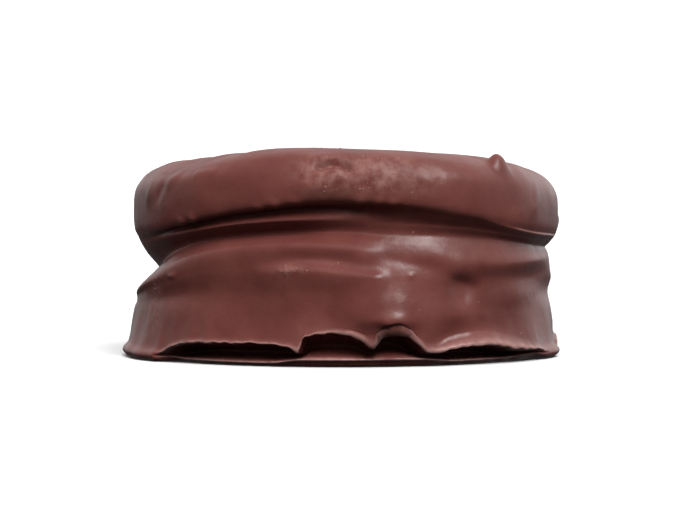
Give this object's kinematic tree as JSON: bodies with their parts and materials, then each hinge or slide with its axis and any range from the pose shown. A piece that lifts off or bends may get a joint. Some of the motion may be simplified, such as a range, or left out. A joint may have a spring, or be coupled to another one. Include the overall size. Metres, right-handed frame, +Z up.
{
  "type": "alfajor cookie",
  "caption": "Round chocolate-coated sandwich cookie: two thick biscuits on a soft filling, a pinched waist, a leaning lid and a foot chipped in arches.",
  "frame": {"origin": "middle of the underside, on the surface that the cookie stands on", "axes": "+Z up through both biscuits; -Y towards the front, where the lid stands highest; +X to the right"},
  "size_m": [0.0628, 0.0616, 0.0309],
  "materials": {
    "chocolate_coat": "satin"
  },
  "bodies": {
    "root": {"coated_alfajor": "chocolate_coat"}
  },
  "joints": []
}
